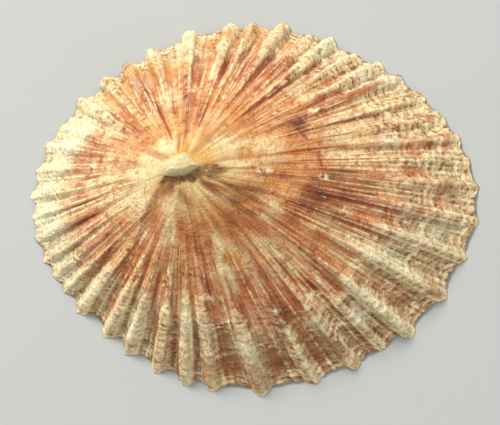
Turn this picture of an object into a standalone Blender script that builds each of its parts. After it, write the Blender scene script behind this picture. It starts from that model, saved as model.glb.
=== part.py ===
"""A limpet shell: one low, ribbed cone, hollow underneath, lying on its margin.

Metres, +Z up. +X points to the wide tail end, and the peak leans towards -X.
The origin is on the surface that the shell rests on, under the middle of its margin.
A place on the shell is given by its angle, in degrees round the margin from the tail end,
anticlockwise from above, and by its reach, which is 0 at the peak and 1 on the margin.
"""

import math

import bpy
import numpy as np

# Driving sizes of the whole shell, rib tips and peak included.
LENGTH = 0.076
WIDTH = 0.0648
HEIGHT = 0.0232
PEAK_X = -0.0120

# The margin under the ribs: an ellipse, a little squared off, with shallow flats and bulges.
MARGIN_HALF_LENGTH = 0.0367
MARGIN_HALF_WIDTH = 0.0316
MARGIN_SQUARING = 0.015
MARGIN_LENGTHENING = 0.005
MARGIN_SWELLS = (  # angle, spread in degrees, share of the radius
    (62.0, 20.0, -0.024),
    (128.0, 24.0, -0.014),
    (222.0, 13.0, -0.016),
    (257.0, 16.0, 0.016),
    (340.0, 10.0, -0.022),
)
OUTWARD_STEP = 0.5

# The rise from margin to peak: 1 is a straight cone, and more is domed.
DOMING_HEAD = 1.14
DOMING_TAIL = 1.36
PEAK_BLUNTNESS = 0.05
PEAK_THICKNESS = 0.0026
RIM_WIDTH = 0.0011

# The worn knob on the peak.
KNOB_HEIGHT = 0.0011
KNOB_HALF_LENGTH = 0.0031
KNOB_HALF_WIDTH = 0.0018
KNOB_CENTRE = (0.0004, 0.0003)
KNOB_EDGE_STEEPNESS = 1.6

# Main ribs: angle and prominence.
RIBS = (
    (4.5, 0.55), (13.5, 0.40), (21.0, 0.60), (28.5, 0.40), (38.0, 0.50), (46.5, 0.75),
    (53.0, 0.75), (61.0, 0.40), (69.0, 1.00), (74.5, 0.50), (82.5, 1.00), (90.5, 0.75),
    (96.5, 0.85), (108.0, 1.10), (119.5, 1.00), (128.0, 0.85), (135.5, 0.95), (145.5, 1.00),
    (155.0, 0.45), (162.0, 0.60), (170.5, 0.60), (178.0, 0.50), (185.0, 0.45), (191.5, 0.60),
    (198.5, 0.55), (204.0, 0.55), (209.5, 0.60), (216.5, 1.00), (227.5, 1.00), (235.2, 1.10),
    (244.5, 1.00), (252.5, 1.05), (259.0, 0.95), (271.5, 1.15), (285.0, 0.85), (296.5, 0.95),
    (305.5, 0.50), (314.0, 1.15), (328.5, 0.95), (342.0, 0.80), (353.5, 0.60),
)
RIB_HEIGHT = 0.00115
RIB_HALF_WIDTH_DEG = 2.1
RIB_ROUNDNESS = 2.5
RIB_GROWTH_STAGES = (  # reach at the start and at the end, share of the full height
    (0.12, 0.75, 0.32),
    (0.58, 1.00, 0.68),
)

# Between two ribs the surface sags like a web, most of all round BROAD_WEBS_AT.
WEB_SHARPNESS = 1.8
WEB_SHARE_NARROW = 0.16
WEB_SHARE_BROAD = 0.50
BROAD_WEBS_AT = 300.0

# A rib stands out and up from the cone, and straight out sideways where it meets the margin.
RIB_OUTWARD = 0.55
RIB_UPWARD = 0.85
RIB_OUTWARD_AT_MARGIN = 1.50
RIB_SIDEWAYS_FROM = 0.60

# The rim lifts clear of the ground between ribs and is flat under them.
RIM_ARCH = 0.0005
RIM_ARCH_WAVE = (0.05, 0.45)
RIM_ARCH_FROM_OUTSIDE = 0.94
RIM_ARCH_FROM_INSIDE = 0.80
INSIDE_FLUTE = 0.00078
INSIDE_FLUTE_FROM = 0.60

# Growth ledges: the reach of the line, and the drop there.
LEDGES = ((0.50, 0.00018), (0.74, 0.00028), (0.89, 0.00022))
LEDGE_BUILD_UP = 0.22
LEDGE_RUN = 0.045

# The reaches of the mesh's rows, outside and inside, and the spacing of its columns.
OUTSIDE_ROWS = (0.0, 0.03, 0.06, 0.10, 0.17, 0.30, 0.48, 0.51, 0.63, 0.73, 0.77, 0.88, 0.92, 1.0)
INSIDE_ROWS = (1.0, 0.84, 0.60, 0.30, 0.10, 0.0)
DEGREES_PER_COLUMN = 1.55
CREST_CROWDING = 0.72

BLANK_RADIUS = 0.03
BLANK_WALL = 0.002
MERGE_DISTANCE = 1e-7
SHARP_EDGE_DEG = 50.0
SHELL_COLOUR = (0.78, 0.50, 0.30, 1.0)
SHELL_ROUGHNESS = 0.55


def smooth_step(low, high, value):
    """0 up to low, 1 from high on, and an S-shaped rise between them."""
    share = np.clip((value - low) / (high - low), 0.0, 1.0)
    return share * share * (3.0 - 2.0 * share)


def turn_between(angle, centre):
    """Signed degrees from centre to angle, the short way round."""
    return (angle - centre + 180.0) % 360.0 - 180.0


def rib_stations():
    """The angle of every column of the mesh: closer together at the crest of each rib."""
    stations = []
    for number, (crest, _) in enumerate(RIBS):
        gap = (RIBS[(number + 1) % len(RIBS)][0] - crest) % 360.0
        half_count = max(2, round(gap / DEGREES_PER_COLUMN / 2.0))
        for step in range(-half_count, half_count):
            share = step / half_count
            across = 0.5 + 0.5 * math.copysign(abs(share) ** CREST_CROWDING, share)
            stations.append((crest + gap * across) % 360.0)
    return np.array(stations)


def rib_wave(angle):
    """Height of the ribbing at the margin: 0 in the deepest hollow, about 1 on a strong crest."""
    crests = np.array([rib[0] for rib in RIBS])
    strengths = np.array([rib[1] for rib in RIBS])
    after = np.searchsorted(crests, angle, side="right") % len(RIBS)
    before = after - 1
    gap = (crests[after] - crests[before]) % 360.0
    across = ((angle - crests[before]) % 360.0) / gap
    web = np.abs(2.0 * across - 1.0) ** WEB_SHARPNESS
    web = web * (strengths[before] * (1.0 - across) + strengths[after] * across)
    ridge = np.zeros_like(angle)
    for crest, strength in RIBS:
        away = np.abs(turn_between(angle, crest)) / RIB_HALF_WIDTH_DEG
        ridge = ridge + strength * np.exp(-(away**RIB_ROUNDNESS))
    broad = 0.5 + 0.5 * np.cos(np.radians(angle - BROAD_WEBS_AT))
    web_share = WEB_SHARE_NARROW + (WEB_SHARE_BROAD - WEB_SHARE_NARROW) * broad
    return (1.0 - web_share) * ridge + web_share * web


def rib_growth(reach):
    """How far the ribs have grown: nothing near the peak, all of it at the margin."""
    growth = np.zeros_like(reach)
    for start, end, share in RIB_GROWTH_STAGES:
        growth = growth + share * smooth_step(start, end, reach)
    return growth


def smooth_margin(angle):
    """Plan position of the margin under the ribs."""
    turn = np.radians(angle)
    swell = 1.0 + MARGIN_SQUARING * np.cos(4.0 * turn) + MARGIN_LENGTHENING * np.cos(2.0 * turn)
    for centre, spread, share in MARGIN_SWELLS:
        swell = swell + share * np.exp(-((turn_between(angle, centre) / spread) ** 2))
    east = MARGIN_HALF_LENGTH * swell * np.cos(turn)
    north = MARGIN_HALF_WIDTH * swell * np.sin(turn)
    return np.stack([east, north], axis=-1)


def outward_at(angle):
    """Horizontal unit vectors that point straight out from the margin."""
    along = smooth_margin(angle + OUTWARD_STEP) - smooth_margin(angle - OUTWARD_STEP)
    outward = np.stack([along[..., 1], -along[..., 0]], axis=-1)
    return outward / np.linalg.norm(outward, axis=-1, keepdims=True)


def blunt(reach):
    """The reach with a rounded start, so that the cone has no needle point."""
    return np.hypot(reach, PEAK_BLUNTNESS) - PEAK_BLUNTNESS


def plain_cone(angle, reach, inset, height):
    """A point of the smooth cone between the peak and the margin, drawn in by inset."""
    peak = np.array([PEAK_X, 0.0])
    margin = smooth_margin(angle) - inset[..., None] * outward_at(angle)
    plan = peak + (margin - peak) * reach[..., None]
    tailward = 0.5 + 0.5 * np.cos(np.radians(angle))
    doming = DOMING_HEAD + (DOMING_TAIL - DOMING_HEAD) * tailward
    rise = height * (1.0 - (blunt(reach) / blunt(1.0)) ** doming)
    return np.concatenate([plan, rise[..., None]], axis=-1)


def knob_rise(plan):
    """Height that the worn knob adds at the peak."""
    east = (plan[..., 0] - PEAK_X - KNOB_CENTRE[0]) / KNOB_HALF_LENGTH
    north = (plan[..., 1] - KNOB_CENTRE[1]) / KNOB_HALF_WIDTH
    return KNOB_HEIGHT * np.exp(-((east * east + north * north) ** KNOB_EDGE_STEEPNESS))


def ledge_rise(reach):
    """Height of the growth ledges: each one builds up to its line, then drops."""
    rise = np.zeros_like(reach)
    for line, drop in LEDGES:
        built = smooth_step(line - LEDGE_BUILD_UP, line, reach)
        dropped = smooth_step(line, line + LEDGE_RUN, reach)
        rise = rise + drop * built * (1.0 - dropped)
    return rise


def rim_arch(wave, reach, start):
    """Height of the rim's lift between ribs, which starts at the given reach."""
    between_ribs = 1.0 - smooth_step(RIM_ARCH_WAVE[0], RIM_ARCH_WAVE[1], wave)
    return RIM_ARCH * between_ribs * smooth_step(start, 1.0, reach)


def outside_point(angle, reach):
    """A point of the ribbed outer surface."""
    none = np.zeros_like(angle)
    upward = np.array([0.0, 0.0, 1.0])
    outward = np.concatenate([outward_at(angle), none[..., None]], axis=-1)
    wave = rib_wave(angle)
    relief = RIB_HEIGHT * wave * rib_growth(reach)
    sideways = smooth_step(RIB_SIDEWAYS_FROM, 1.0, reach)
    out_share = RIB_OUTWARD + (RIB_OUTWARD_AT_MARGIN - RIB_OUTWARD) * sideways
    up_share = RIB_UPWARD * (1.0 - sideways)
    point = plain_cone(angle, reach, none, HEIGHT - KNOB_HEIGHT)
    point = point + (outward * out_share[..., None] + upward * up_share[..., None]) * relief[..., None]
    lift = knob_rise(point[..., :2]) + ledge_rise(reach) + rim_arch(wave, reach, RIM_ARCH_FROM_OUTSIDE)
    return point + upward * lift[..., None]


def inside_point(angle, reach):
    """A point of the smooth inner surface, faintly fluted near the margin."""
    upward = np.array([0.0, 0.0, 1.0])
    wave = rib_wave(angle)
    flute = INSIDE_FLUTE * wave * smooth_step(INSIDE_FLUTE_FROM, 1.0, reach)
    point = plain_cone(angle, reach, RIM_WIDTH - flute, HEIGHT - KNOB_HEIGHT - PEAK_THICKNESS)
    return point + upward * rim_arch(wave, reach, RIM_ARCH_FROM_INSIDE)[..., None]


def fitted_to_size(points):
    """Points scaled and moved so that the whole shell has exactly its driving sizes."""
    low = points.min(axis=0)
    high = points.max(axis=0)
    scale = np.array([LENGTH, WIDTH, HEIGHT]) / (high - low)
    middle = np.array([(low[0] + high[0]) / 2.0, (low[1] + high[1]) / 2.0, low[2]])
    return (points - middle) * scale


def clear_scene():
    """Starts from an empty scene."""
    for old in list(bpy.data.objects):
        bpy.data.objects.remove(old, do_unlink=True)


def section_profile():
    """The wall's section as one line: down the outside, across the rim and up the inside."""
    points = []
    reaches = []
    insides = []
    for reach in OUTSIDE_ROWS:
        points.append((BLANK_RADIUS * reach, 0.0, BLANK_RADIUS * (1.0 - reach) + BLANK_WALL))
        reaches.append(reach)
        insides.append(0.0)
    for reach in INSIDE_ROWS:
        points.append((BLANK_RADIUS * reach, 0.0, BLANK_RADIUS * (1.0 - reach)))
        reaches.append(reach)
        insides.append(1.0)
    mesh = bpy.data.meshes.new("section")
    mesh.from_pydata(points, [(i, i + 1) for i in range(len(points) - 1)], [])
    mesh.attributes.new("reach", "FLOAT", "POINT").data.foreach_set("value", reaches)
    mesh.attributes.new("inside", "FLOAT", "POINT").data.foreach_set("value", insides)
    return mesh


def turned_blank(columns):
    """The section turned round the Z axis, as a plain conical bowl of that many columns."""
    profile = bpy.data.objects.new("section", section_profile())
    bpy.context.scene.collection.objects.link(profile)
    screw = profile.modifiers.new("turn", "SCREW")
    screw.axis = "Z"
    screw.angle = math.tau
    screw.steps = columns
    screw.render_steps = columns
    screw.use_merge_vertices = True
    screw.merge_threshold = MERGE_DISTANCE
    graph = bpy.context.evaluated_depsgraph_get()
    turned = profile.evaluated_get(graph)
    blank = bpy.data.meshes.new_from_object(turned, preserve_all_data_layers=True, depsgraph=graph)
    bpy.data.objects.remove(profile, do_unlink=True)
    return blank


def shape_blank(mesh, stations):
    """Moves every vertex of the turned blank to its place on the ribbed shell."""
    count = len(mesh.vertices)
    blank = np.empty(count * 3)
    mesh.vertices.foreach_get("co", blank)
    blank = blank.reshape(count, 3)
    reach = np.empty(count)
    inside = np.empty(count)
    mesh.attributes["reach"].data.foreach_get("value", reach)
    mesh.attributes["inside"].data.foreach_get("value", inside)
    turns = np.arctan2(blank[:, 1], blank[:, 0]) / math.tau
    column = np.round(turns * len(stations)).astype(int) % len(stations)
    angle = stations[column]
    placed = np.where(inside[:, None] > 0.5, inside_point(angle, reach), outside_point(angle, reach))
    mesh.vertices.foreach_set("co", fitted_to_size(placed).ravel())
    mesh.update()


def shell_material():
    """Plain warm shell colour."""
    material = bpy.data.materials.new("shell")
    material.use_nodes = True
    surface = material.node_tree.nodes["Principled BSDF"]
    surface.inputs["Base Color"].default_value = SHELL_COLOUR
    surface.inputs["Roughness"].default_value = SHELL_ROUGHNESS
    surface.inputs["Metallic"].default_value = 0.0
    return material


def make_shell():
    """The whole shell, as one closed solid."""
    collection = bpy.data.collections.new("limpet_shell")
    bpy.context.scene.collection.children.link(collection)
    stations = rib_stations()
    mesh = turned_blank(len(stations))
    shape_blank(mesh, stations)
    mesh.name = "shell"
    mesh.shade_smooth()
    mesh.set_sharp_from_angle(angle=math.radians(SHARP_EDGE_DEG))
    mesh.materials.append(shell_material())
    shell = bpy.data.objects.new("shell", mesh)
    collection.objects.link(shell)


clear_scene()
make_shell()
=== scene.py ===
"""A limpet shell dressed for its portrait: fine relief, rayed colours, a pale floor and soft light.

Laid out as a Blender add-on and run as a script. Metres, +Z up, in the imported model's frame.
A place on the shell is given by its angle, in degrees round the margin from the tail end,
anticlockwise from above, and by its reach, which is 0 at the peak and 1 on the margin.
"""

import itertools
import math

import bpy
import numpy as np
from bpy.props import FloatProperty, FloatVectorProperty, IntProperty, PointerProperty
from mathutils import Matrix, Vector


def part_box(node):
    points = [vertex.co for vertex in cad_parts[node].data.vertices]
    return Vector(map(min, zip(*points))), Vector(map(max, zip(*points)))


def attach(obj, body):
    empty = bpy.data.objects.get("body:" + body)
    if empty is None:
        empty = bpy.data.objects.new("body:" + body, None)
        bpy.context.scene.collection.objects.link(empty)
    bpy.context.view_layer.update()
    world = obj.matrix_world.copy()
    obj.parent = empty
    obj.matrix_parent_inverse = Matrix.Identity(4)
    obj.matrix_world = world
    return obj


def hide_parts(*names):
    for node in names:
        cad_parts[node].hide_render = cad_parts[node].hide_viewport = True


bl_info = {
    "name": "Limpet Shell",
    "version": (1, 0, 0),
    "blender": (4, 5, 0),
    "location": "3D Viewport > Sidebar > Limpet Shell",
    "description": "Builds a ribbed limpet shell with rayed colours, a pale floor, soft light and a camera",
    "category": "Add Mesh",
}

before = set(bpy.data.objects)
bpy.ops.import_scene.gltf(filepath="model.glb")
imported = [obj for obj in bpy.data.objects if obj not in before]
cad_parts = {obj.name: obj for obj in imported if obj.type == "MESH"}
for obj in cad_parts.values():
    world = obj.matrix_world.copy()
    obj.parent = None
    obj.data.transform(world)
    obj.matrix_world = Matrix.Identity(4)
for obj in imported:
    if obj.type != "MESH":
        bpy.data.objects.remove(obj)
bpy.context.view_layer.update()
SHELL_LOW, SHELL_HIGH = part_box("shell")
SHELL_SIZE = SHELL_HIGH - SHELL_LOW

# Main form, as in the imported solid.
PEAK_X = -0.0120
MARGIN_HALF_LENGTH = 0.0367
MARGIN_HALF_WIDTH = 0.0316
MARGIN_SQUARING = 0.015
MARGIN_LENGTHENING = 0.005
MARGIN_SWELLS = (  # angle, spread in degrees, share of the radius
    (62.0, 20.0, -0.024),
    (128.0, 24.0, -0.014),
    (222.0, 13.0, -0.016),
    (257.0, 16.0, 0.016),
    (340.0, 10.0, -0.022),
)
OUTWARD_STEP = 0.5
DOMING_HEAD = 1.14
DOMING_TAIL = 1.36
PEAK_BLUNTNESS = 0.05
PEAK_THICKNESS = 0.0026
RIM_WIDTH = 0.0011
KNOB_HEIGHT = 0.0011

# Main ribs: angle and prominence.
RIBS = (
    (4.5, 0.55), (13.5, 0.40), (21.0, 0.60), (28.5, 0.40), (38.0, 0.50), (46.5, 0.75),
    (53.0, 0.75), (61.0, 0.40), (69.0, 1.00), (74.5, 0.50), (82.5, 1.00), (90.5, 0.75),
    (96.5, 0.85), (108.0, 1.10), (119.5, 1.00), (128.0, 0.85), (135.5, 0.95), (145.5, 1.00),
    (155.0, 0.45), (162.0, 0.60), (170.5, 0.60), (178.0, 0.50), (185.0, 0.45), (191.5, 0.60),
    (198.5, 0.55), (204.0, 0.55), (209.5, 0.60), (216.5, 1.00), (227.5, 1.00), (235.2, 1.10),
    (244.5, 1.00), (252.5, 1.05), (259.0, 0.95), (271.5, 1.15), (285.0, 0.85), (296.5, 0.95),
    (305.5, 0.50), (314.0, 1.15), (328.5, 0.95), (342.0, 0.80), (353.5, 0.60),
)
RIB_HALF_WIDTH_DEG = 2.1
RIB_ROUNDNESS = 2.5
RIB_GROWTH_STAGES = (  # reach at the start and at the end, share of the full height
    (0.12, 0.75, 0.32),
    (0.58, 1.00, 0.68),
)
WEB_SHARPNESS = 1.8
WEB_SHARE_NARROW = 0.16
WEB_SHARE_BROAD = 0.50
BROAD_WEBS_AT = 300.0
RIB_OUTWARD = 0.55
RIB_UPWARD = 0.85
RIB_OUTWARD_AT_MARGIN = 1.50
RIB_SIDEWAYS_FROM = 0.60
RIM_ARCH = 0.0005
RIM_ARCH_WAVE = (0.05, 0.45)
RIM_ARCH_FROM_OUTSIDE = 0.94
RIM_ARCH_FROM_INSIDE = 0.80
INSIDE_FLUTE = 0.00078
INSIDE_FLUTE_FROM = 0.60
LEDGES = ((0.50, 0.00018), (0.74, 0.00028), (0.89, 0.00022))
LEDGE_BUILD_UP = 0.22
LEDGE_RUN = 0.045

# The rays bend sideways on their way in from the margin: angle, and how strongly in degrees.
RAY_BENDS = (
    (0.0, 0.0), (60.0, 0.0), (90.0, -0.5), (122.0, -1.1), (150.0, -0.5), (175.0, 0.0),
    (190.0, 0.2), (205.0, 1.5), (215.0, 2.5), (235.0, 2.0), (250.0, 0.8), (262.0, 0.5),
    (278.0, 1.0), (300.0, 2.1), (320.0, 1.6), (340.0, 0.7),
)
RAY_BEND_REACH = (0.06, 0.30)

# The worn knob on the peak: its middle, its half width at angles round it, how its edge rounds
# over, the height of its ridges, and how its top leans towards the light side.
KNOB_CENTRE = (-0.0001, 0.0007)
KNOB_OUTLINE = (
    (0.0, 0.00310), (14.0, 0.00245), (40.0, 0.00215), (66.0, 0.00255), (100.0, 0.00210),
    (140.0, 0.00235), (172.0, 0.00335), (200.0, 0.00300), (235.0, 0.00220), (270.0, 0.00180),
    (300.0, 0.00190), (335.0, 0.00215),
)
KNOB_EDGE = (0.42, 1.14)
KNOB_LUMPS = 0.00020
KNOB_TILT = 0.02

# Dark marks beside the knob, as strokes of (east of the peak, north of it, half width), how far
# their edges reach in and out as shares of the half width, and the depth of the hollow.
# The hollow's dark colour is partly brown stain and partly painted shadow under the knob's edge.
HOLLOW_STROKE = (
    (-0.0031, -0.0017, 0.00045), (-0.0023, -0.0015, 0.00070), (-0.0012, -0.0016, 0.00085),
    (0.0001, -0.0016, 0.00085), (0.0012, -0.0013, 0.00090), (0.0024, -0.0009, 0.00090),
    (0.0036, -0.0004, 0.00100), (0.0048, -0.0002, 0.00115), (0.0058, -0.0001, 0.00095),
    (0.0067, 0.0002, 0.00050),
)
DARK_RAY_STROKES = (
    ((-0.0026, -0.0015, 0.00060), (-0.0037, -0.0034, 0.00075), (-0.0047, -0.0051, 0.00080),
     (-0.0056, -0.0068, 0.00070), (-0.0070, -0.0092, 0.00040)),
    ((0.0030, -0.0012, 0.00040), (0.0052, -0.0031, 0.00042), (0.0073, -0.0047, 0.00050),
     (0.0096, -0.0058, 0.00060), (0.0118, -0.0068, 0.00035)),
    ((0.0052, -0.0010, 0.00030), (0.0085, -0.0027, 0.00040), (0.0125, -0.0044, 0.00040)),
)
STROKE_EDGE = (0.45, 1.50)
HOLLOW_DEPTH = 0.00035

# How much deeper the grooves between the main ribs are on the lower slope than in the solid.
RIB_DEEPENING = 0.00065

# Fine riblets between and on the main ribs: their spacing, half width and wander, and the
# reaches between which they grow to their first and to their full height.
RIBLET_SPACING_DEG = 2.8
RIBLET_HALF_WIDTH_DEG = 0.62
RIBLET_WANDER_DEG = 0.7
RIBLETS_START = (0.16, 0.46)
RIBLETS_FULL = (0.40, 0.80)
TABLE_STEPS = 7200

# Growth lines: the first one's reach, and the spacing there and at the margin. The table of
# their heights goes a little past the margin.
GROWTH_FIRST = 0.16
GROWTH_SPACING_FIRST = 0.045
GROWTH_SPACING_MARGIN = 0.018
GROWTH_TABLE_END = 1.2

# Where the pale margin begins: angle and reach, all the way round.
CRUST_EDGE = (
    (0.0, 0.70), (14.0, 0.73), (22.0, 0.71), (31.0, 0.71), (38.0, 0.73), (46.0, 0.74),
    (56.0, 0.76), (66.0, 0.75), (76.0, 0.76), (86.0, 0.79), (96.0, 0.80), (103.0, 0.79),
    (113.0, 0.75), (121.0, 0.80), (131.0, 0.83), (137.0, 0.84), (144.0, 0.70), (152.0, 0.72),
    (160.0, 0.75), (170.0, 0.78), (180.0, 0.79), (190.0, 0.80), (200.0, 0.79), (208.0, 0.77),
    (216.0, 0.75), (226.0, 0.74), (235.0, 0.73), (244.0, 0.71), (252.0, 0.66), (260.0, 0.66),
    (271.0, 0.69), (280.0, 0.73), (287.0, 0.75), (296.0, 0.72), (305.0, 0.74), (314.0, 0.70),
    (322.0, 0.76), (330.0, 0.66), (340.0, 0.71), (350.0, 0.70),
)
CRUST_SOFTNESS = 0.030
CRUST_HEIGHT = 0.00020
CRUST_ON_RIBS = 0.08

# Waves per metre of the noise that frays the dark strokes, makes the margin's lumps and nodules,
# and ridges the knob.
FRAY_SCALE = 1100.0
LUMP_SCALE = 760.0
NODULE_SCALE = 430.0
KNOB_RIDGE_SCALE = (520.0, 1500.0, 700.0)

# The relief that the tall field spans from 0 to 1, and the steps that the surface's lean is read over.
TALL_SPAN = 0.0006
LEAN_STEP_DEG = 0.25
LEAN_STEP_REACH = 0.004

# Rows of points: start, end, rows, and the columns' divisor. The rim's middle row lies a little lower.
OUTSIDE_ROWS = ((0.0, 0.13, 24, 4), (0.13, 0.36, 14, 2), (0.36, 0.70, 29, 1), (0.70, 1.0, 45, 1))
INSIDE_ROWS = ((1.0, 0.90, 3, 2), (0.90, 0.0, 18, 4))
RIM_DROP = 0.00006

# Which surface a point is on.
OUTSIDE = 0.0
RIM = 0.5
INSIDE = 1.0

# How lumpy the margin is: angle and share.
LUMPINESS = (
    (0.0, 0.9), (20.0, 1.4), (45.0, 1.5), (70.0, 1.3), (100.0, 1.2), (140.0, 1.1), (175.0, 1.2),
    (205.0, 0.7), (240.0, 0.8), (270.0, 0.8), (300.0, 0.7), (340.0, 0.9),
)
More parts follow.
